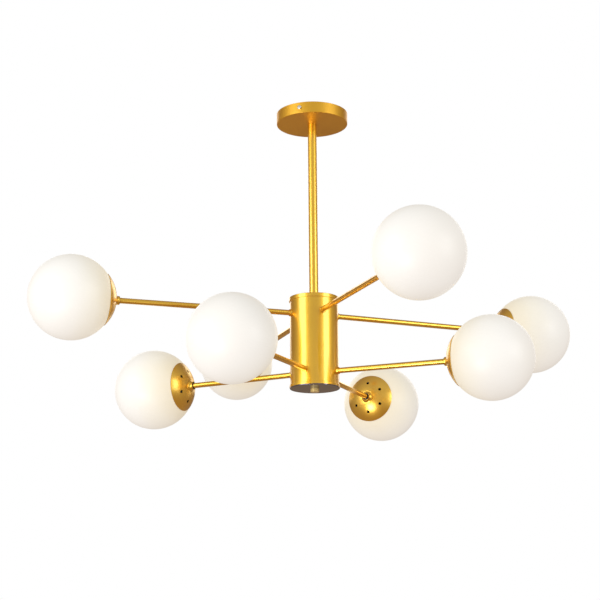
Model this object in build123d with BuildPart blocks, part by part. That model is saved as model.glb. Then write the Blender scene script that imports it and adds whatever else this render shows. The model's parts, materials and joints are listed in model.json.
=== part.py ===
from build123d import *
import os
from math import cos, radians, sin, sqrt

# A chandelier with eight straight arms in two tiers, each ending in a glass ball. Millimetres.
# The ceiling is the plane z = 0, the stem hangs down the z axis, and the arms stand 45 degrees
# apart: arms 1, 3, 5 and 7 are the long upper ones, and 2, 4, 6 and 8 the short lower ones.

os.makedirs("parts", exist_ok=True)

# Driving dimensions
arm_count = 8
first_arm_azimuth = 22.5
arm_step = 360 / arm_count
arm_droop = 0.6  # degrees below level, from the weight of the glass
upper_reach = 452.0  # stem axis to globe centre, along the arm
lower_reach = 334.5
upper_tier_z = -391.5  # where the arm axes meet the stem axis
lower_tier_z = -500.5

thread_radius = 5.0  # M10 x 1 throughout: arms, nipple and hub rod
thread_gap = 0.05  # between a thread and the hole it passes through
thread_bore = 4.1
nut_across_flats = 14.0
nut_height = 5.0

canopy_radius = 67.0
canopy_height = 21.0
canopy_wall = 1.2
canopy_edge_radius = 1.0
plate_radius = 57.0
plate_thickness = 2.0
plate_wire_hole = 10.0
fixing_spacing = 70.0  # between the two ceiling screws, along Y
fixing_slot_length = 12.0
fixing_slot_width = 5.2
ear_azimuth = 251.0  # one side screw, and the other is opposite
ear_width = 16.0
ear_thickness = 1.6
ear_drop = 15.0
ear_gap = 0.2
side_screw_z = -10.3
side_screw_radius = 2.0
side_screw_head_radius = 3.8
side_screw_head_height = 2.6
side_screw_length = 8.0
side_screw_slot = 0.9

stem_radius = 8.5
stem_wall = 1.2
stem_bush_length = 22.0
nipple_top_z = -11.5
nipple_length = 35.0

hub_top_z = -361.0
hub_cap_radius = 46.0
hub_cap_skirt = 7.0
hub_tube_radius = 44.5
hub_wall = 1.5
hub_tube_bottom_z = -527.5
hub_bottom_skirt = 4.5
hub_plate_radius = 45.4
hub_plate_thickness = 1.5
hub_rod_top_z = -343.0
finial_radius = 8.0
finial_height = 6.0
finial_bore_depth = 4.0
junction_radius = 30.0
junction_top_z = -436.0
junction_height = 20.0
junction_hole_depth = 6.0

lead_radius = 2.0
lead_hole_radius = 2.1
arm_lead_circle = 22.0  # where the arm leads enter the junction block
arm_lead_bend = 10.0
supply_lead_circle = 16.0
supply_lead_exit_z = -374.0
supply_lead_bend = 20.0
supply_block_size = (20.0, 28.0, 14.0)
supply_block_x = -36.0

arm_radius = 5.0
arm_inner_end = 35.0
collar_radius = 6.6
collar_outer_end = 48.2
arm_nut_inner = 37.2

globe_radius = 75.0
glass_thickness = 2.8
globe_shoulder = 60.0  # globe centre to the flat shoulder under the cap
globe_neck_radius = 35.8
globe_neck_end = 66.2

cap_radius = 65.5  # radius of curvature of the dish, outside
cap_centre = 14.0  # globe centre to the dish's centre of curvature, towards the hub
cap_rim = 61.0  # globe centre to the rim's plane
cap_sheet = 1.0
vent_count = 6
vent_radius = 2.7
vent_circle = 28.8
neck_radius = 7.8
neck_end = 85.5
neck_flare = 4.5
bush_radius = 7.0
bush_start = 83.5
bush_end = 86.3
gallery_inner_radius = 36.2
gallery_thickness = 1.5
gasket_inner_radius = 31.5
gasket_outer_radius = 35.0
gasket_start = 66.6

holder_radius = 19.5
holder_back = 75.2
holder_mouth = 46.0
holder_floor = 68.2
holder_bore = 14.05
arm_outer_end = 70.2  # globe centre to the arm's end, inside the lampholder
shell_inner_radius = 13.6
contact_radius = 4.0
contact_thickness = 0.6
bulb_base_radius = 13.2
bulb_base_top = 67.2
bulb_base_bottom = 44.0
bulb_radius = 22.5
bulb_centre = 17.5

stem_top_z = -canopy_height
stem_bottom_z = hub_top_z
canopy_floor_z = -canopy_height + canopy_wall
hub_bottom_z = hub_tube_bottom_z - hub_wall
hub_plate_bottom_z = hub_bottom_z - hub_plate_thickness
hub_rod_bottom_z = hub_plate_bottom_z - finial_bore_depth + 0.5
junction_bottom_z = junction_top_z - junction_height


def save(part, name):
    part.label = name
    export_step(part, f"parts/{name}.step")


def ring(z_low, z_high, outer, inner):
    """A plain ring about the z axis."""
    with BuildPart() as made:
        with BuildSketch(Plane.XY.offset(z_low)):
            Circle(outer)
            Circle(inner, mode=Mode.SUBTRACT)
        extrude(amount=z_high - z_low)
    return made


def hex_nut(plane, height):
    """An M10 nut that stands on the plane."""
    with BuildPart() as made:
        with BuildSketch(plane):
            RegularPolygon(nut_across_flats / 2, 6, major_radius=False)
            Circle(thread_radius + thread_gap, mode=Mode.SUBTRACT)
        extrude(amount=height)
    return made


# Arms, each with its own plane: X runs out along the arm from the stem axis, and Y points up.


class Arm:
    def __init__(self, number):
        upper = number % 2 == 1
        azimuth = radians(first_arm_azimuth + arm_step * (number - 1))
        droop = radians(arm_droop)
        self.number = number
        self.reach = upper_reach if upper else lower_reach
        self.origin = Vector(0, 0, upper_tier_z if upper else lower_tier_z)
        self.direction = Vector(cos(azimuth) * cos(droop), sin(azimuth) * cos(droop), -sin(droop))
        self.level = Vector(cos(azimuth), sin(azimuth), 0)
        self.plane = Plane(self.origin, self.direction, Vector(sin(azimuth), -cos(azimuth), 0))
        self.axis = Axis(self.origin, self.direction)
        self.block_end_z = junction_top_z if upper else junction_bottom_z
        self.lead_end_z = self.block_end_z + (-1 if upper else 1) * (junction_hole_depth - 0.5)

    def head_plane(self, inward):
        """The arm's plane moved to the globe's centre, with X towards the hub, and then inward by that."""
        centre = self.origin + self.direction * (self.reach - inward)
        return Plane(centre, -self.direction, -self.plane.z_dir)


arms = [Arm(number) for number in range(1, arm_count + 1)]


def turned(arm, *rings):
    """Rings about the arm's axis, each (from, to, outer radius, inner radius), measured from the stem."""
    with BuildPart() as made:
        for start, end, outer, inner in rings:
            with BuildSketch(arm.plane):
                with Locations(((start + end) / 2, (outer + inner) / 2)):
                    Rectangle(abs(end - start), outer - inner)
            revolve(axis=arm.axis)
    return made


def head_ring(arm, start, end, outer, inner):
    """A ring measured from the globe's centre towards the hub."""
    return turned(arm, (arm.reach - end, arm.reach - start, outer, inner))


def grouped(name, pieces):
    """Equal pieces that share one node, as separate solids."""
    save(Compound(children=[solid for piece in pieces for solid in piece.part.solids()]), name)


# Ceiling plate: a stamped disc with two slots for the ceiling screws and two ears bent down
def ear_plane(azimuth):
    """Level, at the ceiling, with X towards the ear."""
    return Plane.XY.rotated((0, 0, azimuth))


def side_screw_plane(azimuth):
    """On the stem's axis at the side screws' height, facing the ear."""
    level = ear_plane(azimuth)
    return Plane(level.from_local_coords((0, 0, side_screw_z)), level.y_dir, level.x_dir)


ear_outer = sqrt((canopy_radius - canopy_wall - ear_gap) ** 2 - (ear_width / 2) ** 2)
with BuildPart() as ceiling_plate:
    with BuildSketch(Plane.XY.offset(-plate_thickness)):
        Circle(plate_radius)
        with Locations(Rotation(0, 0, ear_azimuth)):
            Rectangle(2 * ear_outer, ear_width)
        Circle(plate_wire_hole, mode=Mode.SUBTRACT)
        with Locations((0, fixing_spacing / 2), (0, -fixing_spacing / 2)):
            SlotOverall(fixing_slot_length, fixing_slot_width, rotation=90, mode=Mode.SUBTRACT)
    extrude(amount=plate_thickness)
    for azimuth in (ear_azimuth, ear_azimuth + 180):
        with BuildSketch(ear_plane(azimuth).offset(-ear_drop)):
            with Locations((ear_outer - ear_thickness / 2, 0)):
                Rectangle(ear_thickness, ear_width)
        extrude(amount=ear_drop)
        with BuildSketch(side_screw_plane(azimuth)):
            Circle(side_screw_radius + thread_gap)
        extrude(amount=canopy_radius, mode=Mode.SUBTRACT)
save(ceiling_plate.part, "ceiling_plate")

# Canopy: a shallow drawn cup, open towards the ceiling
with BuildPart() as canopy_cover:
    with BuildSketch(Plane.XZ) as canopy_section:
        with BuildLine():
            Polyline((0, -canopy_height), (canopy_radius, -canopy_height), (canopy_radius, 0), (0, 0),
                     close=True)
        make_face()
        fillet(canopy_section.vertices().sort_by(Axis.X)[-2:].sort_by(Axis.Y)[0], canopy_edge_radius)
        with BuildLine():
            Polyline((0, canopy_floor_z), (canopy_radius - canopy_wall, canopy_floor_z),
                     (canopy_radius - canopy_wall, 0), (0, 0), close=True)
        make_face(mode=Mode.SUBTRACT)
        with Locations((0, -canopy_height / 2)):
            Rectangle(2 * (thread_radius + thread_gap), canopy_height, mode=Mode.SUBTRACT)
    revolve(axis=Axis.Z)
    for azimuth in (ear_azimuth, ear_azimuth + 180):
        with BuildSketch(side_screw_plane(azimuth)):
            Circle(side_screw_radius + 0.2)
        extrude(amount=canopy_radius + 1, mode=Mode.SUBTRACT)
save(canopy_cover.part, "canopy_cover")

with BuildPart() as canopy_side_screws:
    for azimuth in (ear_azimuth, ear_azimuth + 180):
        with BuildSketch(side_screw_plane(azimuth).offset(canopy_radius)):
            Circle(side_screw_head_radius)
        head = extrude(amount=side_screw_head_height)
        outwards = Axis((0, 0, 0), side_screw_plane(azimuth).z_dir)
        fillet(head.edges().filter_by(GeomType.CIRCLE).sort_by(outwards)[-1], side_screw_head_radius / 4)
        with BuildSketch(side_screw_plane(azimuth).offset(canopy_radius - side_screw_length)):
            Circle(side_screw_radius)
        extrude(amount=side_screw_length)
        with BuildSketch(side_screw_plane(azimuth).offset(canopy_radius + side_screw_head_height / 2)):
            Rectangle(side_screw_slot, 2 * side_screw_head_radius)
        extrude(amount=side_screw_head_height, mode=Mode.SUBTRACT)
save(canopy_side_screws.part, "canopy_side_screws")

canopy_lock_nut = hex_nut(Plane.XY.offset(canopy_floor_z), nut_height)
save(canopy_lock_nut.part, "canopy_lock_nut")

# Mains terminal block under the ceiling plate, with a hole for the lead that goes down the stem
block_length, block_width, block_height = supply_block_size
supply_lead_z = -plate_thickness - lead_radius - 3
with BuildPart() as supply_terminal:
    with BuildSketch(Plane.XY.offset(-plate_thickness - block_height)):
        with Locations((supply_block_x, 0)):
            RectangleRounded(block_length, block_width, 1.5)
    extrude(amount=block_height)
    with BuildSketch(Plane.YZ.offset(supply_block_x + block_length / 2 - 2.5)):
        with Locations((0, supply_lead_z)):
            Circle(lead_hole_radius)
    extrude(amount=5, mode=Mode.SUBTRACT)
    with BuildSketch(Plane.XY.offset(-plate_thickness - block_height)):
        with GridLocations(0, block_width / 3, 1, 3):
            with Locations((supply_block_x, 0)):
                Circle(2.2)
    extrude(amount=3, mode=Mode.SUBTRACT)
save(supply_terminal.part, "supply_terminal")

# Stem: a thin tube with a threaded bush in each end, a nipple above and the hub rod below
stem_tube = ring(stem_bottom_z, stem_top_z, stem_radius, stem_radius - stem_wall)
save(stem_tube.part, "stem_tube")

bush_outer = stem_radius - stem_wall
bush_inner = thread_radius + thread_gap
with BuildPart() as stem_end_bushes:
    for start in (stem_bottom_z, stem_top_z - stem_bush_length):
        with BuildSketch(Plane.XY.offset(start)):
            Circle(bush_outer)
            Circle(bush_inner, mode=Mode.SUBTRACT)
        extrude(amount=stem_bush_length)
save(stem_end_bushes.part, "stem_end_bushes")

stem_nipple = ring(nipple_top_z - nipple_length, nipple_top_z, thread_radius, thread_bore)
save(stem_nipple.part, "stem_nipple")

window_top_z = supply_lead_exit_z + 4
window_height = 20.0
with BuildPart() as hub_rod:
    with BuildSketch(Plane.XY.offset(hub_rod_bottom_z)):
        Circle(thread_radius)
        Circle(thread_bore, mode=Mode.SUBTRACT)
    extrude(amount=hub_rod_top_z - hub_rod_bottom_z)
    with BuildSketch(Plane.YZ):
        with Locations((0, window_top_z - window_height / 2)):
            SlotOverall(window_height, 2 * lead_radius + 1.5, rotation=90)
    extrude(amount=2 * thread_radius, mode=Mode.SUBTRACT)
save(hub_rod.part, "hub_rod")

# Hub: a tube between two shallow caps, with a dark plate and a turned finial underneath
with BuildPart() as hub_tube:
    with BuildSketch(Plane.XY.offset(hub_tube_bottom_z)):
        Circle(hub_tube_radius)
        Circle(hub_tube_radius - hub_wall, mode=Mode.SUBTRACT)
    extrude(amount=hub_top_z - hub_wall - hub_tube_bottom_z)
    for arm in arms:
        with BuildSketch(Plane(arm.origin, arm.plane.y_dir, arm.direction)):
            Circle(arm_radius + thread_gap)
        extrude(amount=hub_cap_radius, mode=Mode.SUBTRACT)
save(hub_tube.part, "hub_tube")


def hub_cap(outside_z, inside_z, skirt_z, edge_radius):
    """A shallow cup over one end of the tube, drilled for the rod."""
    with BuildPart() as made:
        with BuildSketch(Plane.XZ) as section:
            with BuildLine():
                Polyline((0, outside_z), (hub_cap_radius, outside_z), (hub_cap_radius, skirt_z), (0, skirt_z),
                         close=True)
            make_face()
            outer_corner = section.vertices().sort_by_distance((hub_cap_radius, outside_z))[0]
            fillet(outer_corner, edge_radius)
            with BuildLine():
                Polyline((0, inside_z), (hub_tube_radius + thread_gap, inside_z),
                         (hub_tube_radius + thread_gap, skirt_z), (0, skirt_z), close=True)
            make_face(mode=Mode.SUBTRACT)
            with Locations((0, outside_z)):
                Rectangle(2 * (thread_radius + thread_gap), 4 * hub_wall, mode=Mode.SUBTRACT)
        revolve(axis=Axis.Z)
    return made


hub_top_cap = hub_cap(hub_top_z, hub_top_z - hub_wall, hub_top_z - hub_cap_skirt, 0.7)
save(hub_top_cap.part, "hub_top_cap")
hub_bottom_cap = hub_cap(hub_bottom_z, hub_tube_bottom_z, hub_bottom_z + hub_bottom_skirt, 0.3)
save(hub_bottom_cap.part, "hub_bottom_cap")

hub_bottom_plate = ring(hub_plate_bottom_z, hub_bottom_z, hub_plate_radius, thread_radius + thread_gap)
save(hub_bottom_plate.part, "hub_bottom_plate")

with BuildPart() as hub_finial:
    with BuildSketch(Plane.XY.offset(hub_plate_bottom_z - finial_height)):
        Circle(finial_radius)
    extrude(amount=finial_height)
    fillet(hub_finial.edges().filter_by(GeomType.CIRCLE).sort_by(Axis.Z)[0], 0.8)
    with BuildSketch(Plane.XY.offset(hub_plate_bottom_z - finial_bore_depth)):
        Circle(thread_radius + thread_gap)
    extrude(amount=finial_bore_depth, mode=Mode.SUBTRACT)
save(hub_finial.part, "hub_finial")

hub_lock_nuts = [
    hex_nut(Plane.XY.offset(hub_top_z - hub_wall - nut_height), nut_height),
    hex_nut(Plane.XY.offset(hub_tube_bottom_z), nut_height),
]
grouped("hub_lock_nuts", hub_lock_nuts)

# Round junction block on the rod, where the stem's lead meets the eight arm leads
with BuildPart() as hub_junction:
    with BuildSketch(Plane.XY.offset(junction_bottom_z)):
        Circle(junction_radius)
        Circle(thread_radius + thread_gap, mode=Mode.SUBTRACT)
    extrude(amount=junction_height)
    fillet(hub_junction.edges().filter_by(GeomType.CIRCLE).sort_by(SortBy.RADIUS)[-2:], 1.0)
    for arm in arms:
        with BuildSketch(Plane.XY.offset(arm.block_end_z)):
            with Locations(arm.level * arm_lead_circle):
                Circle(lead_hole_radius)
        extrude(amount=junction_hole_depth if arm.block_end_z < junction_top_z else -junction_hole_depth,
                mode=Mode.SUBTRACT)
    with BuildSketch(Plane.XY.offset(junction_top_z)):
        with Locations((supply_lead_circle, 0)):
            Circle(lead_hole_radius)
    extrude(amount=-junction_hole_depth, mode=Mode.SUBTRACT)
save(hub_junction.part, "hub_junction")

# Leads: straight runs joined by arcs, each a round two-core cable


def lead(points, bends):
    with BuildPart() as made:
        with BuildLine() as route:
            FilletPolyline(*points, radius=bends)
        start = route.line @ 0
        with BuildSketch(Plane(start, z_dir=route.line % 0)):
            Circle(lead_radius)
        sweep()
    return made


supply_points = [
    (supply_block_x + block_length / 2 - 2, 0, supply_lead_z),
    (0, 0, supply_lead_z),
    (0, 0, supply_lead_exit_z),
    (supply_lead_circle, 0, supply_lead_exit_z - 18),
    (supply_lead_circle, 0, junction_top_z - junction_hole_depth + 0.5),
]
supply_lead = lead(supply_points, [6, supply_lead_bend, supply_lead_bend])
save(supply_lead.part, "supply_lead")


def arm_lead(arm):
    outer = arm.origin + arm.direction * (arm.reach - arm_outer_end + 1)
    corner = arm.origin + arm.direction * arm_lead_circle
    return lead([outer, corner, Vector(corner.X, corner.Y, arm.lead_end_z)], [arm_lead_bend])


grouped("arm_leads", [arm_lead(arm) for arm in arms])

# Arms: straight tubes through the hub's wall, with a collar outside and a nut inside
for arm in arms:
    tube = turned(arm, (arm_inner_end, arm.reach - arm_outer_end, arm_radius, thread_bore))
    save(tube.part, f"arm_{arm.number}")


def arm_collar(arm):
    """The collar's inner end is hollowed to sit on the round hub."""
    with BuildPart() as made:
        with BuildSketch(arm.plane):
            with Locations(((arm_inner_end + collar_outer_end) / 2, (collar_radius + bush_inner) / 2)):
                Rectangle(collar_outer_end - arm_inner_end, collar_radius - bush_inner)
        revolve(axis=arm.axis)
        with BuildSketch(Plane.XY.offset(hub_tube_bottom_z)):
            Circle(hub_tube_radius)
        extrude(amount=hub_top_z - hub_tube_bottom_z, mode=Mode.SUBTRACT)
    return made


grouped("arm_collars", [arm_collar(arm) for arm in arms])


def arm_nut(arm):
    face = Plane(arm.origin + arm.direction * arm_nut_inner, arm.plane.y_dir, arm.direction)
    return hex_nut(face, nut_height)


grouped("arm_lock_nuts", [arm_nut(arm) for arm in arms])

# Heads: a pierced dish with a turned neck, its gallery ring, and the lampholder inside


def cap(arm):
    with BuildPart() as made:
        with BuildSketch(arm.head_plane(0)):
            with Locations((cap_centre, 0)):
                Circle(cap_radius)
                Circle(cap_radius - cap_sheet, mode=Mode.SUBTRACT)
            with Locations(((cap_rim + 2 * cap_radius) / 2, cap_radius / 2)):
                Rectangle(2 * cap_radius - cap_rim, cap_radius, mode=Mode.INTERSECT)
        revolve(axis=arm.axis)
        hole_plane = arm.head_plane(cap_rim)
        with BuildSketch(Plane(hole_plane.origin, hole_plane.y_dir, hole_plane.x_dir)):
            Circle(bush_inner)
            with PolarLocations(vent_circle, vent_count):
                Circle(vent_radius)
        extrude(amount=cap_radius, mode=Mode.SUBTRACT)
    return made


def cap_neck(arm):
    with BuildPart() as made:
        with BuildSketch(arm.head_plane(0)):
            apex = cap_centre + cap_radius
            with BuildLine():
                foot = Line((apex - 3, bush_inner), (apex - 3, neck_radius + neck_flare))
                flare = Line(foot @ 1, (apex - 1, neck_radius + neck_flare))
                curve = RadiusArc(flare @ 1, (apex - 1 + neck_flare, neck_radius), neck_flare)
                side = Line(curve @ 1, (neck_end - 0.6, neck_radius))
                bevel = Line(side @ 1, (neck_end, neck_radius - 0.6))
                lip = Line(bevel @ 1, (neck_end, bush_radius))
                seat = Line(lip @ 1, (bush_start, bush_radius))
                back = Line(seat @ 1, (bush_start, bush_inner))
                Line(back @ 1, foot @ 0)
            make_face()
            with Locations((cap_centre, 0)):
                Circle(cap_radius, mode=Mode.SUBTRACT)
        revolve(axis=arm.axis)
    return made


def gallery_ring(arm):
    """The threaded ring that takes the glass neck, welded inside the dish."""
    outer = gallery_inner_radius + gallery_thickness
    with BuildPart() as made:
        with BuildSketch(arm.head_plane(0)):
            with Locations((cap_centre, 0)):
                Circle(cap_radius - cap_sheet)
            with Locations((cap_rim + 5, (gallery_inner_radius + outer) / 2)):
                Rectangle(10, gallery_thickness, mode=Mode.INTERSECT)
        revolve(axis=arm.axis)
    return made


def globe_gasket(arm):
    with BuildPart() as made:
        with BuildSketch(arm.head_plane(0)):
            with Locations((cap_centre, 0)):
                Circle(cap_radius - cap_sheet)
            with Locations((gasket_start + 0.8, (gasket_inner_radius + gasket_outer_radius) / 2)):
                Rectangle(1.6, gasket_outer_radius - gasket_inner_radius, mode=Mode.INTERSECT)
        revolve(axis=arm.axis)
    return made


def lampholder(arm):
    with BuildPart() as made:
        with BuildSketch(arm.head_plane(0)) as section:
            with Locations(((holder_mouth + holder_back) / 2, holder_radius / 2)):
                Rectangle(holder_back - holder_mouth, holder_radius)
            fillet(section.vertices().filter_by(lambda corner: corner.Y > 1), 1.5)
            with Locations(((holder_mouth + holder_floor) / 2, holder_bore / 2)):
                Rectangle(holder_floor - holder_mouth, holder_bore, mode=Mode.SUBTRACT)
            with Locations(((arm_outer_end + holder_back) / 2, thread_radius / 2)):
                Rectangle(holder_back - arm_outer_end, thread_radius + 2 * thread_gap, mode=Mode.SUBTRACT)
            with Locations((holder_floor, 0)):
                Rectangle(4 * (arm_outer_end - holder_floor), 2 * lead_hole_radius, mode=Mode.SUBTRACT)
        revolve(axis=arm.axis)
    return made


def globe(arm):
    """A ball of even wall, with a flat shoulder and a short neck that goes into the gallery ring."""
    inner_radius = globe_radius - glass_thickness
    inner_shoulder = globe_shoulder - glass_thickness
    inner_neck_radius = globe_neck_radius - glass_thickness
    with BuildPart() as made:
        with BuildSketch(arm.head_plane(0)):
            with BuildLine():
                outside = ThreePointArc((-globe_radius, 0), (0, globe_radius),
                                        (globe_shoulder, sqrt(globe_radius**2 - globe_shoulder**2)))
                neck = Polyline(outside @ 1, (globe_shoulder, globe_neck_radius),
                                (globe_neck_end, globe_neck_radius), (globe_neck_end, inner_neck_radius),
                                (inner_shoulder, inner_neck_radius),
                                (inner_shoulder, sqrt(inner_radius**2 - inner_shoulder**2)))
                inside = ThreePointArc(neck @ 1, (0, inner_radius), (-inner_radius, 0))
                Line(inside @ 1, outside @ 0)
            make_face()
        revolve(axis=arm.axis)
    return made


def bulb(arm):
    with BuildPart() as made:
        with BuildSketch(arm.head_plane(0)):
            with BuildLine():
                tip = Line((bulb_base_top, 0), (bulb_base_top, 3.4))
                glass_seal = Line(tip @ 1, (bulb_base_top - 2.5, bulb_base_radius - 3))
                base_edge = Line(glass_seal @ 1, (bulb_base_top - 4.5, bulb_base_radius))
                base = Line(base_edge @ 1, (bulb_base_bottom, bulb_base_radius))
                collar = Line(base @ 1, (bulb_base_bottom, bulb_base_radius + 1.2))
                cone_end = bulb_centre + bulb_radius * 0.55
                cone = Line(collar @ 1, (cone_end, bulb_radius * sqrt(1 - 0.55**2)))
                dome = ThreePointArc(cone @ 1, (bulb_centre, bulb_radius), (bulb_centre - bulb_radius, 0))
                Line(dome @ 1, tip @ 0)
            make_face()
        revolve(axis=arm.axis)
    return made


for arm in arms:
    save(cap(arm).part, f"cap_{arm.number}")
    save(globe(arm).part, f"globe_{arm.number}")
    save(bulb(arm).part, f"bulb_{arm.number}")

grouped("cap_necks", [cap_neck(arm) for arm in arms])
grouped("neck_bushes", [head_ring(arm, bush_start, bush_end, bush_radius, bush_inner) for arm in arms])
grouped("gallery_rings", [gallery_ring(arm) for arm in arms])
grouped("globe_gaskets", [globe_gasket(arm) for arm in arms])
grouped("lampholders", [lampholder(arm) for arm in arms])
grouped("screw_shells", [head_ring(arm, holder_mouth + 2, holder_floor - 1.2, holder_bore, shell_inner_radius)
                         for arm in arms])
grouped("centre_contacts", [head_ring(arm, holder_floor - contact_thickness, holder_floor, contact_radius,
                                      lead_hole_radius) for arm in arms])
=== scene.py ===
import json
import math

import bmesh
import bpy
from mathutils import Euler, Matrix, Vector


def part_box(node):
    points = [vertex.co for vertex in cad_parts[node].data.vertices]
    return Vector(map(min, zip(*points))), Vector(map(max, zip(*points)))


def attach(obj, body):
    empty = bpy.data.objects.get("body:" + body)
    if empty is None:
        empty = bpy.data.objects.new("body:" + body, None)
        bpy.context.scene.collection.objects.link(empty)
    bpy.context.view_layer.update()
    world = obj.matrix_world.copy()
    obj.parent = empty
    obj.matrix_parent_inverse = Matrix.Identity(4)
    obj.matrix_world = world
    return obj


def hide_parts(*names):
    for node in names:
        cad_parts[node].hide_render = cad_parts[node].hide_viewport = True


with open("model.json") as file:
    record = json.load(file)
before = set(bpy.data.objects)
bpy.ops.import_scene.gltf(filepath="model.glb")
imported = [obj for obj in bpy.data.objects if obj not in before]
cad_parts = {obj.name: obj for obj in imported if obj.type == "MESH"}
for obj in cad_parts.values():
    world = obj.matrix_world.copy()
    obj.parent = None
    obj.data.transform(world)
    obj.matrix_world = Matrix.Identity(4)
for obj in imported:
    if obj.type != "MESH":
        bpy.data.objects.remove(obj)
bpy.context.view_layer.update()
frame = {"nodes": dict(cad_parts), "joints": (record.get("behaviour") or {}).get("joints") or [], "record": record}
print("frame loaded,", len(frame["nodes"]), "nodes")

mm = 0.001
weld = 0.001 * mm  # points closer than this are one point
sharpAngle = math.radians(35)  # edges that turn by more are shaded sharp
joints = {joint["name"]: joint for joint in frame["joints"]}
armNumbers = sorted(int(name.split("_")[1]) for name in joints if name.startswith("globe_"))


def headPlace(number):
    # a turned head part is made about Z with its globe's centre at the origin and Z towards the hub
    joint = joints["globe_%d_unscrew" % number]
    towardsHub = -Vector(joint["axis"]).normalized()
    across = Vector((0, 0, 1)).cross(towardsHub).normalized()
    up = towardsHub.cross(across)
    turn = Matrix((up, -across, towardsHub)).transposed().to_4x4()
    return Matrix.Translation(Vector(joint["pos_m"])) @ turn


def armPlace(number):
    # an arm part is made about Z from the stem's axis, with Z out along the arm
    joint = joints["globe_%d_unscrew" % number]
    centre = Vector(joint["pos_m"])
    out = Vector(joint["axis"]).normalized()
    reach = Vector((centre.x, centre.y, 0)).length / Vector((out.x, out.y, 0)).length
    across = Vector((0, 0, 1)).cross(out).normalized()
    turn = Matrix((out.cross(across), across, out)).transposed().to_4x4()
    return Matrix.Translation(centre - out * reach) @ turn, reach


class Wire:
    # one output in a node tree; arithmetic on it adds Math nodes
    def __init__(self, nodes, socket):
        self.nodes = nodes
        self.socket = socket

    def __add__(self, other):
        return self.nodes.math("ADD", self, other)

    def __sub__(self, other):
        return self.nodes.math("SUBTRACT", self, other)

    def __mul__(self, other):
        return self.nodes.math("MULTIPLY", self, other)


class Nodes:
    # a node tree and the one way its nodes are added
    def __init__(self, tree):
        self.tree = tree

    def node(self, kind, settings, sockets, out=0):
        made = self.tree.nodes.new(kind)
        for name, value in settings.items():
            if name == "stops":
                while len(made.color_ramp.elements) < len(value):
                    made.color_ramp.elements.new(1.0)
                for element, (place, colour) in zip(made.color_ramp.elements, value):
                    element.position = place
                    element.color = (*colour, 1.0)
            else:
                setattr(made, name, value)
        for name, value in sockets.items():
            if isinstance(value, Wire):
                self.tree.links.new(value.socket, made.inputs[name])
            else:
                made.inputs[name].default_value = value
        return Wire(self, made.outputs[out])

    def math(self, operation, first, second):
        return self.node("ShaderNodeMath", {"operation": operation}, {0: first, 1: second})

    def place(self, source="Object"):
        if source == "Object":
            return self.node("ShaderNodeTexCoord", {}, {}, "Object")
        return self.node("ShaderNodeAttribute", {"attribute_name": source}, {}, "Vector")

    def vector(self, operation, sockets, out="Vector"):
        return self.node("ShaderNodeVectorMath", {"operation": operation}, sockets, out)

    def coordinate(self, place, axis):
        return self.node("ShaderNodeSeparateXYZ", {}, {0: place}, axis)

    def stretched(self, place, scale):
        return self.node("ShaderNodeMapping", {}, {"Vector": place, "Scale": scale})

    def noise(self, place, scale, detail, roughness=0.5):
        return self.node("ShaderNodeTexNoise", {}, {"Vector": place, "Scale": scale, "Detail": detail,
                                                    "Roughness": roughness})

    def blend(self, share, first, second):
        # colours mixed by share; Mix has sockets for each data type, and 6 and 7 are the colours
        return self.node("ShaderNodeMix", {"data_type": "RGBA"}, {0: share, 6: first, 7: second}, 2)

    def spread(self, wire, low, high, newLow=0.0, newHigh=1.0):
        return self.node("ShaderNodeMapRange", {}, {"Value": wire, "From Min": low, "From Max": high,
                                                    "To Min": newLow, "To Max": newHigh})


class Paint(Nodes):
    # a material whose shader takes fixed numbers at its making and wires after it
    def __init__(self, name, **surface):
        self.material = bpy.data.materials.new(name)
        self.material.use_nodes = True
        super().__init__(self.material.node_tree)
        self.shader = self.tree.nodes["Principled BSDF"]
        for socket, value in surface.items():
            self.shader.inputs[socket.replace("_", " ")].default_value = value

    def drive(self, socket, wire):
        self.tree.links.new(wire.socket, self.shader.inputs[socket])

    def bump(self, height, strength, distance):
        self.drive("Normal", self.node("ShaderNodeBump", {}, {
            "Height": height, "Strength": strength, "Distance": distance}))


def rgb(red, green, blue):
    return (red, green, blue, 1.0)


noiseSpan = (0.3, 0.7)  # most of a noise lies between these


def goldPaint(name, look):
    # the plating is finely brushed round each part's own axis: the grain runs at one place on the lathe
    paint = Paint(name, Metallic=look["metal"], Coat_Weight=look["lacquer"],
                  Coat_Roughness=look["lacquerRoughness"], Coat_IOR=look["lacquerIor"])
    turned = paint.place("turned")
    flat = paint.vector("MULTIPLY", {0: turned, 1: (1, 1, 0)})
    radius = paint.vector("LENGTH", {0: flat}, "Value")
    track = paint.node("ShaderNodeCombineXYZ", {}, {"Z": paint.coordinate(turned, "Z") - radius})
    around = paint.vector("ADD", {0: paint.stretched(flat, (look["along"], look["along"], 0)),
                                  1: paint.stretched(track, (0, 0, look["across"]))})
    grain = paint.noise(around, 1.0, 4.0, 0.6)
    cloud = paint.noise(paint.place(), look["cloud"], 2.0)
    handled = paint.noise(paint.place(), look["handled"], 4.0, 0.6)
    tone = (paint.spread(grain, *noiseSpan) * look["grainShare"]
            + paint.spread(cloud, *noiseSpan) * (1 - look["grainShare"]))
    paint.drive("Base Color", paint.blend(tone, look["deep"], look["bright"]))
    rough = paint.spread(grain, 0.25, 0.75, -0.5, 0.5) * look["grainRoughness"] + look["roughness"]
    paint.drive("Roughness", rough + paint.spread(handled, 0.45, 0.75) * look["marks"])
    paint.bump(grain, look["bump"], look["depth"] * mm)
    return paint


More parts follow.
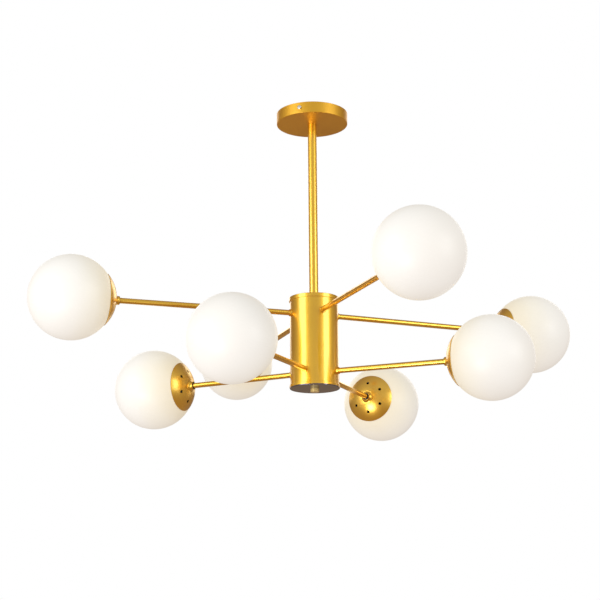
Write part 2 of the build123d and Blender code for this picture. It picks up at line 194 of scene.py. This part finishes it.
# along and across are how fine the grain is along its own lines and from line to line
satinLook = {"deep": rgb(0.93, 0.53, 0.02), "bright": rgb(1.0, 0.62, 0.04), "roughness": 0.36,
             "grainRoughness": 0.08, "marks": 0.03, "metal": 1.0, "lacquer": 0.9, "lacquerRoughness": 0.16,
             "lacquerIor": 1.75, "along": 22.0, "across": 1500.0, "cloud": 6.0, "handled": 22.2,
             "grainShare": 0.4, "bump": 0.07, "depth": 0.04}
polishedLook = dict(satinLook, deep=rgb(1.0, 0.70, 0.22), bright=rgb(1.0, 0.80, 0.34), roughness=0.2,
                    grainRoughness=0.05, marks=0.04, metal=0.3, lacquer=0.8, lacquerRoughness=0.1,
                    bump=0.05)
canopyLook = dict(satinLook, deep=rgb(0.82, 0.44, 0.02), bright=rgb(0.92, 0.52, 0.035), roughness=0.46,
                  lacquer=0.4, lacquerRoughness=0.35)
dishLook = dict(satinLook, roughness=0.31, grainRoughness=0.05, lacquerRoughness=0.26, lacquerIor=1.9,
                bump=0.04)
armLook = dict(satinLook, roughness=0.2, grainRoughness=0.03, bump=0.02)

globe = {"radius": 75.0, "wall": 2.8, "shoulder": 60.0, "neck": 35.8, "neckEnd": 66.2, "round": 1.4}
# the painted glow's colours, standing in for the bulb's light, run from the globe's far end to its shoulder under
# the dish; near the dish both the glow and the glass colour turn cream, a painted reflection of the gold dish
opalLook = {"glass": rgb(0.52, 0.52, 0.52), "paintedDishReflection": rgb(0.54, 0.51, 0.43),
            # the near-black colour is painted shade for the neck, the shoulder under the dish and the inside
            "paintedShade": rgb(0.05, 0.03, 0.015), "glow": 0.5, "shoulder": 0.9995, "uneven": 0.035,
            "cloud": 14.0, "etching": 900.0, "roughness": (0.42, 0.55), "bump": 0.06, "depth": 0.03,
            "glowStops": [(0.0, (0.96, 0.93, 0.87)), (0.25, (0.98, 0.97, 0.93)), (0.55, (0.99, 0.97, 0.90)),
                          (0.8, (0.98, 0.94, 0.82)), (1.0, (0.94, 0.85, 0.65))]}


def opalPaint(look):
    # glass flashed white and etched outside, given a painted glow for its bulb's light, made creamier by the metal
    # dish as a painted reflection of it, and given painted shade on the neck, under the dish and inside, which the
    # dish's vents look into
    paint = Paint("opalGlass", Roughness=0.4, Coat_Weight=0.15, Coat_Roughness=0.3,
                  Emission_Strength=look["glow"])
    turned = paint.place("turned")
    along = paint.spread(paint.coordinate(turned, "Z"), -globe["radius"] * mm, globe["shoulder"] * mm)
    slow = paint.noise(turned, look["cloud"], 3.0, 0.55)
    cloud = paint.spread(slow, *noiseSpan, -look["uneven"], look["uneven"])
    # painted shade: the neck, the shoulder under the dish and the inside get no glow and a near-black colour
    skin = (globe["radius"] - globe["wall"] / 2) * mm
    inside = paint.math("LESS_THAN", paint.vector("LENGTH", {0: turned}, "Value"), skin)
    paintedShadeMask = paint.math("MAXIMUM", paint.math("GREATER_THAN", along, look["shoulder"]), inside)
    fine = paint.noise(paint.place(), look["etching"], 2.0)
    # the painted glow stands in for the bulb's light and turns cream near the dish, a painted reflection of the
    # gold
    glow = paint.node("ShaderNodeValToRGB", {"stops": look["glowStops"]}, {0: along + cloud})
    paint.drive("Emission Color", paint.blend(paintedShadeMask, glow, rgb(0, 0, 0)))
    # the glass's colour turns cream towards the dish, a painted reflection of the gold dish
    body = paint.blend(paint.spread(along + cloud, 0.5, 1.0), look["glass"], look["paintedDishReflection"])
    paint.drive("Base Color", paint.blend(paintedShadeMask, body, look["paintedShade"]))
    paint.drive("Roughness", paint.spread(fine, *noiseSpan, *look["roughness"]))
    paint.bump(fine, look["bump"], look["depth"] * mm)
    paint.material.cycles.emission_sampling = "NONE"
    return paint


smokedLook = {"deep": rgb(0.155, 0.165, 0.235), "bright": rgb(0.20, 0.21, 0.29), "haze": 55.0,
              "roughness": (0.08, 0.15)}


def smokedPaint(look):
    # a dark violet-grey mirror finish with a faint polishing haze
    paint = Paint("smokedMirror", Metallic=1.0)
    haze = paint.noise(paint.place(), look["haze"], 5.0, 0.6)
    paint.drive("Base Color", paint.blend(paint.spread(haze, 0.35, 0.65), look["deep"], look["bright"]))
    paint.drive("Roughness", paint.spread(haze, 0.4, 0.7, *look["roughness"]))
    return paint


# rolling is how fine the lines are across and along them, and the shares say how much of the tone
# is patches or slow clouds, the rest being lines or fine grain
steelLook = {"rolling": (1400.0, 60.0, 60.0), "patchShare": 0.45, "uneven": 0.22, "bump": 0.12,
             "depth": 0.04}
mouldedLook = {"cloud": 40.0, "cloudShare": 0.7, "uneven": 0.12, "bump": 0.1, "depth": 0.05}


def steelPaint(name, tint, shade, roughness, spangle):
    # plated steel: broad crystal patches of slightly different tone under fine rolling lines
    paint = Paint(name, Metallic=1.0)
    crystal = paint.node("ShaderNodeTexVoronoi", {"feature": "F1"},
                         {"Vector": paint.place(), "Scale": spangle, "Randomness": 1.0}, "Color")
    patch = paint.node("ShaderNodeSeparateColor", {}, {0: crystal}, 0)
    lines = paint.noise(paint.stretched(paint.place(), steelLook["rolling"]), 1.0, 3.0)
    mix = patch * steelLook["patchShare"] + lines * (1 - steelLook["patchShare"])
    paint.drive("Base Color", paint.blend(mix, shade, tint))
    paint.drive("Roughness", mix * steelLook["uneven"] + roughness)
    paint.bump(lines, steelLook["bump"], steelLook["depth"] * mm)
    return paint


def mouldedPaint(name, tint, shade, roughness, grain, **surface):
    # moulded or glazed: an even colour with slow cloudiness and a fine surface texture
    paint = Paint(name, **surface)
    slow = paint.noise(paint.place(), mouldedLook["cloud"], 3.0)
    fine = paint.noise(paint.place(), grain, 3.0, 0.6)
    mix = slow * mouldedLook["cloudShare"] + fine * (1 - mouldedLook["cloudShare"])
    paint.drive("Base Color", paint.blend(paint.spread(mix, 0.35, 0.65), shade, tint))
    paint.drive("Roughness", paint.spread(fine, *noiseSpan, roughness, roughness + mouldedLook["uneven"]))
    paint.bump(fine, mouldedLook["bump"], mouldedLook["depth"] * mm)
    return paint


paints = {
    "satin_gold": goldPaint("satinGold", satinLook),
    "polished_gold": goldPaint("polishedGold", polishedLook),
    "opal_glass": opalPaint(opalLook),
    "smoked_mirror": smokedPaint(smokedLook),
    "zinc_steel": steelPaint("zincSteel", rgb(0.70, 0.71, 0.71), rgb(0.46, 0.48, 0.52), 0.26, 160.0),
    "bright_steel": steelPaint("brightNickel", rgb(0.76, 0.76, 0.74), rgb(0.56, 0.56, 0.54), 0.16, 420.0),
    "turned_brass": steelPaint("turnedBrass", rgb(0.84, 0.62, 0.26), rgb(0.66, 0.44, 0.15), 0.2, 300.0),
    "white_ceramic": mouldedPaint("glazedCeramic", rgb(0.90, 0.89, 0.86), rgb(0.82, 0.81, 0.77),
                                  0.08, 500.0, Coat_Weight=0.6, Coat_Roughness=0.04),
    "lamp_plastic": mouldedPaint("lampDiffuser", rgb(0.92, 0.91, 0.87), rgb(0.86, 0.85, 0.80),
                                 0.42, 1400.0),
    "white_plastic": mouldedPaint("whitePlastic", rgb(0.86, 0.86, 0.84), rgb(0.78, 0.78, 0.76),
                                  0.3, 1100.0),
    "black_plastic": mouldedPaint("blackPlastic", rgb(0.020, 0.014, 0.012), rgb(0.010, 0.007, 0.006),
                                  0.38, 1600.0),
    "clear_silicone": mouldedPaint("siliconeSeal", rgb(0.80, 0.80, 0.76), rgb(0.70, 0.70, 0.65),
                                   0.4, 800.0),
    "lead_sheath": mouldedPaint("leadSheath", rgb(0.82, 0.82, 0.79), rgb(0.74, 0.74, 0.71),
                                0.36, 900.0),
}
canopyGold = goldPaint("canopyGold", canopyLook)
dishGold = goldPaint("dishGold", dishLook)
armGold = goldPaint("armGold", armLook)
print("materials made for", len(paints), "slots")


def lathe(profile, steps, even=None):
    # profile rows are (place along Z, radius, rounding of that corner) in millimetres, spun about Z,
    # and even is about how far apart the points stand along its longer sides
    shape = bmesh.new()
    corners = [shape.verts.new((radius * mm, 0, along * mm)) for along, radius, _ in profile]
    for first, second in zip(corners, corners[1:] + corners[:1]):
        if first.co.x > 0 or second.co.x > 0:
            shape.edges.new((first, second))
    for rounding in sorted({row[2] for row in profile if row[2]}):
        chosen = [corner for corner, row in zip(corners, profile) if row[2] == rounding]
        segments = 10 if rounding > 2 else 4  # a large round needs more
        bmesh.ops.bevel(shape, geom=chosen, offset=rounding * mm, offset_type="OFFSET", segments=segments,
                        profile=0.5, affect="VERTICES", material=-1)
    if even:
        for edge in [edge for edge in shape.edges if edge.calc_length() > 1.5 * even * mm]:
            bmesh.ops.subdivide_edges(shape, edges=[edge], cuts=int(edge.calc_length() / (even * mm)))
    bmesh.ops.spin(shape, geom=shape.verts[:] + shape.edges[:], cent=(0, 0, 0), axis=(0, 0, 1),
                   dvec=(0, 0, 0), angle=2 * math.pi, steps=steps, use_merge=True)
    bmesh.ops.remove_doubles(shape, verts=shape.verts, dist=weld)
    bmesh.ops.recalc_face_normals(shape, faces=shape.faces)
    return shape


def rod(radius, start, end, turn=Matrix.Identity(4), steps=32):
    # a plain cylinder along Z, used to drill holes
    shape = bmesh.new()
    middle = Matrix.Translation((0, 0, (start + end) / 2 * mm))
    bmesh.ops.create_cone(shape, cap_ends=True, segments=steps, radius1=radius * mm, radius2=radius * mm,
                          depth=(end - start) * mm, matrix=turn @ middle)
    return shape


def placed(shapes, places):
    # one mesh with a copy of each shape at each place
    whole = bpy.data.meshes.new("whole")
    joined = bmesh.new()
    for shape in shapes:
        for place in places:
            shape.to_mesh(whole)
            whole.transform(place)
            joined.from_mesh(whole)
        shape.free()
    bpy.data.meshes.remove(whole)
    return joined


def drilled(shape, tool):
    # shape with tool cut out of it, both closed
    bodies = []
    for source in (shape, tool):
        mesh = bpy.data.meshes.new("cut")
        source.to_mesh(mesh)
        source.free()
        bodies.append(bpy.data.objects.new("cut", mesh))
        bpy.context.scene.collection.objects.link(bodies[-1])
    cutter = bodies[0].modifiers.new("cut", "BOOLEAN")
    cutter.operation = "DIFFERENCE"
    cutter.solver = "EXACT"
    cutter.object = bodies[1]
    cut = bpy.data.meshes.new_from_object(bodies[0].evaluated_get(bpy.context.evaluated_depsgraph_get()))
    result = bmesh.new()
    result.from_mesh(cut)
    bmesh.ops.remove_doubles(result, verts=result.verts, dist=2 * weld)
    for body in bodies:
        mesh = body.data
        bpy.data.objects.remove(body)
        bpy.data.meshes.remove(mesh)
    bpy.data.meshes.remove(cut)
    return result


def softened(shape, size, segments, sharper):
    # rounds every edge that turns by more than this many degrees
    edges = [edge for edge in shape.edges
             if edge.is_manifold and edge.calc_face_angle() > math.radians(sharper)]
    bmesh.ops.bevel(shape, geom=edges, offset=size * mm, offset_type="OFFSET", segments=segments,
                    profile=0.5, affect="EDGES", clamp_overlap=True, material=-1)


def finished(shape, name, slot, body="fixture", stands=(), places=(Matrix.Identity(4),), paint=None):
    # keeps where each point was on the lathe, then makes a piece with a copy at each place
    grain = shape.verts.layers.float_vector.new("turned")
    for point in shape.verts:
        point[grain] = point.co
    whole = placed([shape], places)
    mesh = bpy.data.meshes.new(name)
    whole.to_mesh(mesh)
    whole.free()
    mesh.shade_smooth()
    mesh.set_sharp_from_angle(angle=sharpAngle)
    mesh.materials.append((paint or paints[slot]).material)
    piece = bpy.data.objects.new(name, mesh)
    bpy.context.scene.collection.objects.link(piece)
    flats = piece.modifiers.new("flats", "WEIGHTED_NORMAL")
    flats.keep_sharp = True
    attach(piece, body)
    if stands:
        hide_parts(*stands)


canopy = {"wall": 1.2, "edge": 1.0, "hole": 5.05, "screwAzimuth": 251.0, "screwHeight": -10.3,
          "screwHole": 2.2, "drillPast": 5.0}
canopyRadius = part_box("canopy_cover")[1].x / mm
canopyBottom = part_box("canopy_cover")[0].z / mm
shell = lathe([(0, canopyRadius, 0.25), (canopyBottom, canopyRadius, canopy["edge"]),
               (canopyBottom, canopy["hole"], 0.2), (canopyBottom + canopy["wall"], canopy["hole"], 0),
               (canopyBottom + canopy["wall"], canopyRadius - canopy["wall"], 0.6),
               (0, canopyRadius - canopy["wall"], 0.25)], 144, even=6)
screwTurns = [Matrix.Translation((0, 0, canopy["screwHeight"] * mm))
              @ Euler((0, math.pi / 2, math.radians(canopy["screwAzimuth"] + side))).to_matrix().to_4x4()
              for side in (0, 180)]
drillEnd = canopyRadius + canopy["drillPast"]  # one drill makes both holes
shell = drilled(shell, rod(canopy["screwHole"], -drillEnd, drillEnd, screwTurns[0]))
finished(shell, "canopyShell", "satin_gold", stands=["canopy_cover"], paint=canopyGold)

screw = {"head": 3.8, "height": 2.6, "round": 0.9, "shank": 2.0, "length": 8.0, "slot": 0.9, "depth": 1.3,
         "cutter": 12.0}
top = canopyRadius + screw["height"]
tip = canopyRadius - screw["length"]
screwShape = lathe([(tip, 0, 0), (tip, screw["shank"], 0.4), (canopyRadius, screw["shank"], 0),
                    (canopyRadius, screw["head"], 0.15), (top, screw["head"], screw["round"]),
                    (top, 0, 0)], 40)
slotTool = bmesh.new()
slotSize = Matrix.Diagonal((screw["slot"] * mm, screw["cutter"] * mm, 2 * screw["depth"] * mm, 1))
bmesh.ops.create_cube(slotTool, size=1.0, matrix=Matrix.Translation((0, 0, top * mm)) @ slotSize)
finished(drilled(screwShape, slotTool), "canopyScrews", "bright_steel", stands=["canopy_side_screws"],
         places=screwTurns)

stem = {"radius": 8.5, "wall": 1.2}
stemLow, stemHigh = (corner.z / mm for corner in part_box("stem_tube"))
stemBore = stem["radius"] - stem["wall"]
stemShape = lathe([(stemHigh, stem["radius"], 0.2), (stemLow, stem["radius"], 0.2),
                   (stemLow, stemBore, 0), (stemHigh, stemBore, 0)], 72, even=10)
finished(stemShape, "stemTube", "satin_gold", stands=["stem_tube"])
print("canopy and stem made")


# the caps' skirts stand off the hub's tube by the gap
hub = {"radius": 44.5, "wall": 1.5, "capRadius": 46.0, "topRound": 0.7, "lowRound": 0.3, "gap": 0.05,
       "rodHole": 5.05, "armHole": 5.05, "drill": (30.0, 60.0)}
hubLow, hubHigh = (corner.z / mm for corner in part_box("hub_tube"))
hubBore = hub["radius"] - hub["wall"]
tube = lathe([(hubHigh, hub["radius"], 0), (hubLow, hub["radius"], 0), (hubLow, hubBore, 0),
              (hubHigh, hubBore, 0)], 160, even=6)
armDrills = placed([rod(hub["armHole"], *hub["drill"])], [armPlace(number)[0] for number in armNumbers])
finished(drilled(tube, armDrills), "hubTube", "satin_gold", stands=["hub_tube"])


def hubCap(name, node, outside, skirt, rounding):
    inside = outside + math.copysign(hub["wall"], skirt - outside)
    bore = hub["radius"] + hub["gap"]
    shape = lathe([(outside, hub["rodHole"], 0), (outside, hub["capRadius"], rounding),
                   (skirt, hub["capRadius"], 0.25), (skirt, bore, 0), (inside, bore, 0),
                   (inside, hub["rodHole"], 0)], 160, even=6)
    finished(shape, name, "satin_gold", stands=[node])


capLow, capHigh = (corner.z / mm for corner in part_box("hub_top_cap"))
hubCap("hubTopCap", "hub_top_cap", capHigh, capLow, hub["topRound"])
capLow, capHigh = (corner.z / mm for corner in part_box("hub_bottom_cap"))
hubCap("hubBottomCap", "hub_bottom_cap", capLow, capHigh, hub["lowRound"])

plateLow, plateHigh = (corner.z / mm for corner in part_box("hub_bottom_plate"))
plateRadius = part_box("hub_bottom_plate")[1].x / mm
plateShape = lathe([(plateHigh, hub["rodHole"], 0), (plateHigh, plateRadius, 0.15),
                    (plateLow, plateRadius, 0.5), (plateLow, hub["rodHole"], 0)], 160)
finished(plateShape, "hubPlate", "smoked_mirror", stands=["hub_bottom_plate"])

finial = {"round": 0.8, "bore": 5.05, "boreDepth": 4.0}
finialLow, finialHigh = (corner.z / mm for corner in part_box("hub_finial"))
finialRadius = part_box("hub_finial")[1].x / mm
boreEnd = finialHigh - finial["boreDepth"]
finialShape = lathe([(finialHigh, finial["bore"], 0), (finialHigh, finialRadius, 0.25),
                     (finialLow, finialRadius, finial["round"]), (finialLow, 0, 0), (boreEnd, 0, 0),
                     (boreEnd, finial["bore"], 0)], 72)
finished(finialShape, "hubFinial", "polished_gold", stands=["hub_finial"])
print("hub made")


# the outer end is given from the globe's centre, the other places from the stem's axis
arm = {"radius": 5.0, "bore": 4.1, "inner": 35.0, "outer": 70.2, "collar": 6.6, "collarEnd": 48.2,
       "gap": 0.05}


def collarShape():
    # the collar's inner end, which is every point within a millimetre of it, moves on to the round hub
    bore = arm["radius"] + arm["gap"]
    shape = lathe([(arm["inner"], bore, 0), (arm["inner"], arm["collar"], 0),
                   (arm["collarEnd"], arm["collar"], 0.5), (arm["collarEnd"], bore, 0.2)], 56)
    for point in shape.verts:
        if point.co.z < (arm["inner"] + 1) * mm:
            point.co.z = math.sqrt((hub["radius"] * mm) ** 2 - point.co.y ** 2)
    return shape


for number in armNumbers:
    place, reach = armPlace(number)
    end = reach / mm - arm["outer"]
    shape = lathe([(arm["inner"], arm["radius"], 0.2), (end, arm["radius"], 0.2), (end, arm["bore"], 0),
                   (arm["inner"], arm["bore"], 0)], 56, even=12)
    finished(shape, "armTube_%d" % number, "satin_gold", stands=["arm_%d" % number], places=[place],
             paint=armGold)
finished(collarShape(), "armCollars", "satin_gold", stands=["arm_collars"],
         places=[armPlace(number)[0] for number in armNumbers], paint=armGold)
print("arms made")


# a head's places along its axis are given from the globe's centre, towards the hub
dish = {"radius": 65.5, "centre": 14.0, "rim": 61.0, "sheet": 1.0, "vents": 6, "vent": 2.7, "circle": 28.8,
        "hole": 5.05, "edge": 0.22, "drill": (40.0, 90.0)}
neck = {"radius": 7.8, "flare": 4.4, "foot": 12.3, "footInner": 78.2, "footOuter": 78.0, "footTop": 78.5,
        "end": 85.5, "lip": 0.6, "seat": 83.5, "bush": 7.0, "bushEnd": 86.3, "bore": 5.05}
bulb = {"radius": 22.5, "centre": 17.5, "coneMeets": math.acos(0.55), "domeSteps": 18, "collar": 14.4,
        "base": 13.2, "baseStart": 44.0, "baseEnd": 67.2, "pitch": 3.6, "thread": 0.7, "plainStart": 1.5,
        "plainEnd": 6.0, "taperFrom": 4.5, "taperTo": 2.5, "taperRadius": 10.2, "contact": 3.4}


def dishShape():
    # the top of a sphere, given a sheet's thickness, drilled and with its edges eased
    shape = bmesh.new()
    bmesh.ops.create_uvsphere(shape, u_segments=144, v_segments=80, radius=dish["radius"] * mm)
    bmesh.ops.translate(shape, verts=shape.verts, vec=(0, 0, dish["centre"] * mm))
    bmesh.ops.bisect_plane(shape, geom=shape.verts[:] + shape.edges[:] + shape.faces[:], dist=weld / 10,
                           plane_co=(0, 0, dish["rim"] * mm), plane_no=(0, 0, 1), clear_inner=True)
    bmesh.ops.recalc_face_normals(shape, faces=shape.faces)
    if sum(face.normal.z for face in shape.faces) < 0:
        bmesh.ops.reverse_faces(shape, faces=shape.faces)
    bmesh.ops.solidify(shape, geom=shape.faces, thickness=dish["sheet"] * mm)
    tools = []
    for vent in range(dish["vents"]):
        turn = Matrix.Rotation(math.tau * vent / dish["vents"], 4, "Z")
        stand = turn @ Matrix.Translation((dish["circle"] * mm, 0, 0))
        tools.append(rod(dish["vent"], *dish["drill"], stand, 28))
    tools.append(rod(dish["hole"], *dish["drill"]))
    shape = drilled(shape, placed(tools, [Matrix.Identity(4)]))
    softened(shape, dish["edge"], 2, 50)
    return shape


def globeShape():
    # a ball cut off at the shoulder, drawn in and up to make the neck, then given its wall
    shape = bmesh.new()
    bmesh.ops.create_uvsphere(shape, u_segments=112, v_segments=72, radius=globe["radius"] * mm)
    bmesh.ops.bisect_plane(shape, geom=shape.verts[:] + shape.edges[:] + shape.faces[:], dist=weld / 10,
                           plane_co=(0, 0, globe["shoulder"] * mm), plane_no=(0, 0, 1), clear_outer=True)
    rim = [edge for edge in shape.edges if edge.is_boundary]
    rimRadius = math.sqrt(globe["radius"] ** 2 - globe["shoulder"] ** 2)
    for scale, rise in ((globe["neck"] / rimRadius, 0), (1, (globe["neckEnd"] - globe["shoulder"]) * mm)):
        drawn = bmesh.ops.extrude_edge_only(shape, edges=rim)["geom"]
        points = [part for part in drawn if isinstance(part, bmesh.types.BMVert)]
        rim = [part for part in drawn if isinstance(part, bmesh.types.BMEdge)]
        bmesh.ops.scale(shape, verts=points, vec=(scale, scale, 1))
        bmesh.ops.translate(shape, verts=points, vec=(0, 0, rise))
    bmesh.ops.recalc_face_normals(shape, faces=shape.faces)
    softened(shape, globe["round"], 5, 30)
    if sum(face.normal.dot(face.calc_center_median()) for face in shape.faces) < 0:
        bmesh.ops.reverse_faces(shape, faces=shape.faces)
    bmesh.ops.solidify(shape, geom=shape.faces, thickness=globe["wall"] * mm)
    return shape


def neckShape():
    # the foot sits on the dish's crown and flares up into the neck, whose lip holds the bush
    return lathe([(neck["footInner"], neck["bore"], 0), (neck["footOuter"], neck["foot"], 0),
                  (neck["footTop"], neck["foot"], 0), (neck["footTop"], neck["radius"], neck["flare"]),
                  (neck["end"], neck["radius"], neck["lip"]), (neck["end"], neck["bush"], 0),
                  (neck["seat"], neck["bush"], 0), (neck["seat"], neck["bore"], 0)], 64)


def bushShape():
    return lathe([(neck["seat"], neck["bore"], 0), (neck["seat"], neck["bush"], 0),
                  (neck["bushEnd"], neck["bush"], 0.7), (neck["bushEnd"], neck["bore"], 0.3)], 56)


def bulbShapes():
    # the diffuser is a ball that meets a cone; the screw base has rolled threads at the standard pitch
    start, end = bulb["baseStart"], bulb["baseEnd"]
    root = bulb["base"] - bulb["thread"]
    dome = []
    for step in range(bulb["domeSteps"]):
        angle = bulb["coneMeets"] + (math.pi - bulb["coneMeets"]) * step / bulb["domeSteps"]
        dome.append((bulb["centre"] + bulb["radius"] * math.cos(angle),
                     bulb["radius"] * math.sin(angle), 0))
    diffuser = lathe([(start, 0, 0), (start, bulb["collar"], 0.5)] + dome
                     + [(bulb["centre"] - bulb["radius"], 0, 0)], 64)
    threads = []
    for turn in range(int((end - bulb["plainEnd"] - start) / bulb["pitch"])):
        groove = start + bulb["plainStart"] + turn * bulb["pitch"]
        threads += [(groove, root, 0.5), (groove + bulb["pitch"] / 2, bulb["base"], 0.5)]
    base = lathe([(start, 0, 0), (start, root, 0)] + threads
                 + [(end - bulb["taperFrom"], root, 0.5), (end - bulb["taperTo"], bulb["taperRadius"], 0.4),
                    (end, bulb["contact"], 0.5), (end, 0, 0)], 56)
    return diffuser, base


heads = {number: headPlace(number) for number in armNumbers}
dishMaster = dishShape()
globeMaster = globeShape()
for number, place in heads.items():
    finished(dishMaster.copy(), "dishCap_%d" % number, "satin_gold", stands=["cap_%d" % number],
             places=[place], paint=dishGold)
    finished(globeMaster.copy(), "opalGlobe_%d" % number, "opal_glass", body="globe_%d" % number,
             stands=["globe_%d" % number], places=[place])
    diffuser, base = bulbShapes()
    finished(diffuser, "bulbDiffuser_%d" % number, "lamp_plastic", body="bulb_%d" % number,
             stands=["bulb_%d" % number], places=[place])
    finished(base, "bulbBase_%d" % number, "bright_steel", body="bulb_%d" % number, places=[place])
dishMaster.free()
globeMaster.free()
finished(neckShape(), "dishNecks", "satin_gold", stands=["cap_necks"], places=list(heads.values()),
         paint=armGold)
finished(bushShape(), "neckBushes", "black_plastic", stands=["neck_bushes"], places=list(heads.values()))
print("heads made")


# pieces that stay as the frame has them only get a finish
nodeSlots = {part["node"]: part["material_slot"] for part in frame["record"]["subparts"]}
for name, node in frame["nodes"].items():
    if not node.hide_render:
        node.data.materials.clear()
        node.data.materials.append(paints[nodeSlots[name]].material)
print("inner pieces painted")


# the room's colours as seen from the lamp in front of it, behind it and below it, and by the camera
studio = {"front": rgb(0.58, 0.56, 0.51), "back": rgb(0.26, 0.18, 0.11), "below": rgb(0.36, 0.25, 0.17),
          "seen": rgb(1, 1, 1), "frontToBack": (-0.6, 0.6), "belowToRoom": (-0.6, 0.1), "floor": -4.6,
          "floorRadius": 14.0, "floorGlow": 0.42}
world = bpy.data.worlds.new("studio")
bpy.context.scene.world = world
world.use_nodes = True
sky = Nodes(world.node_tree)
direction = sky.node("ShaderNodeTexCoord", {}, {}, "Generated")
ahead = sky.spread(sky.coordinate(direction, "Y"), *studio["frontToBack"])
up = sky.spread(sky.coordinate(direction, "Z"), *studio["belowToRoom"])
room = sky.blend(up, studio["below"], sky.blend(ahead, studio["front"], studio["back"]))
colour = sky.blend(sky.node("ShaderNodeLightPath", {}, {}, "Is Camera Ray"), room, studio["seen"])
sky.tree.links.new(colour.socket, sky.tree.nodes["Background"].inputs["Color"])

floorPaint = mouldedPaint("studioFloor", rgb(0.86, 0.86, 0.85), rgb(0.83, 0.83, 0.82), 0.6, 30.0,
                          Emission_Color=rgb(0.95, 0.97, 1.0), Emission_Strength=studio["floorGlow"])
floorShape = bmesh.new()
bmesh.ops.create_circle(floorShape, cap_ends=True, segments=96, radius=studio["floorRadius"],
                        matrix=Matrix.Translation((0, 0, studio["floor"])))
floorMesh = bpy.data.meshes.new("studioFloor")
floorShape.to_mesh(floorMesh)
floorShape.free()
floorMesh.materials.append(floorPaint.material)
floor = bpy.data.objects.new("studioFloor", floorMesh)
bpy.context.scene.collection.objects.link(floor)
floor.visible_glossy = False
floor.visible_diffuse = False

# softboxes: azimuth is measured from straight in front, to the right, and both angles from the hub's middle
softboxes = {
    "leftBox": {"azimuth": -56, "elevation": 8, "away": 3.0, "wide": 1.9, "high": 1.7, "radiance": 2.8},
    "rightBox": {"azimuth": 60, "elevation": 8, "away": 3.0, "wide": 1.5, "high": 1.7, "radiance": 2.8},
    "lowFill": {"azimuth": -33, "elevation": -27, "away": 3.4, "wide": 1.4, "high": 1.2, "radiance": 8.5},
    "backLeft": {"azimuth": -158, "elevation": 20, "away": 3.4, "wide": 1.6, "high": 1.6, "radiance": 1.5},
    "backRight": {"azimuth": 158, "elevation": 20, "away": 3.4, "wide": 1.6, "high": 1.6, "radiance": 1.5},
}
middle = Vector((0, 0, (hubLow + hubHigh) / 2 * mm))
for name, box in softboxes.items():
    azimuth, elevation = math.radians(box["azimuth"]), math.radians(box["elevation"])
    towards = Vector((math.sin(azimuth) * math.cos(elevation), -math.cos(azimuth) * math.cos(elevation),
                      math.sin(elevation)))
    lamp = bpy.data.lights.new(name, "AREA")
    lamp.shape = "RECTANGLE"
    lamp.size = box["wide"]
    lamp.size_y = box["high"]
    lamp.energy = box["radiance"] * math.pi * box["wide"] * box["high"]
    lampObject = bpy.data.objects.new(name, lamp)
    lampObject.location = middle + towards * box["away"]
    lampObject.rotation_euler = (-towards).to_track_quat("-Z", "Y").to_euler()
    lampObject.visible_camera = False
    bpy.context.scene.collection.objects.link(lampObject)

view = {"place": (0.0509, -2.6314, -1.0315), "yaw": 1.667, "pitch": 14.233, "roll": -0.465, "lens": 88.39,
        "sensor": 36.0}
lens = bpy.data.cameras.new("camera")
lens.lens = view["lens"]
lens.sensor_width = view["sensor"]
camera = bpy.data.objects.new("camera", lens)
turn = (Matrix.Rotation(math.radians(view["yaw"]), 4, "Z")
        @ Matrix.Rotation(math.radians(90 + view["pitch"]), 4, "X")
        @ Matrix.Rotation(math.radians(view["roll"]), 4, "Z"))
camera.matrix_world = Matrix.Translation(view["place"]) @ turn
bpy.context.scene.collection.objects.link(camera)
bpy.context.scene.camera = camera
bpy.context.scene.view_settings.view_transform = "Standard"
print("studio made")
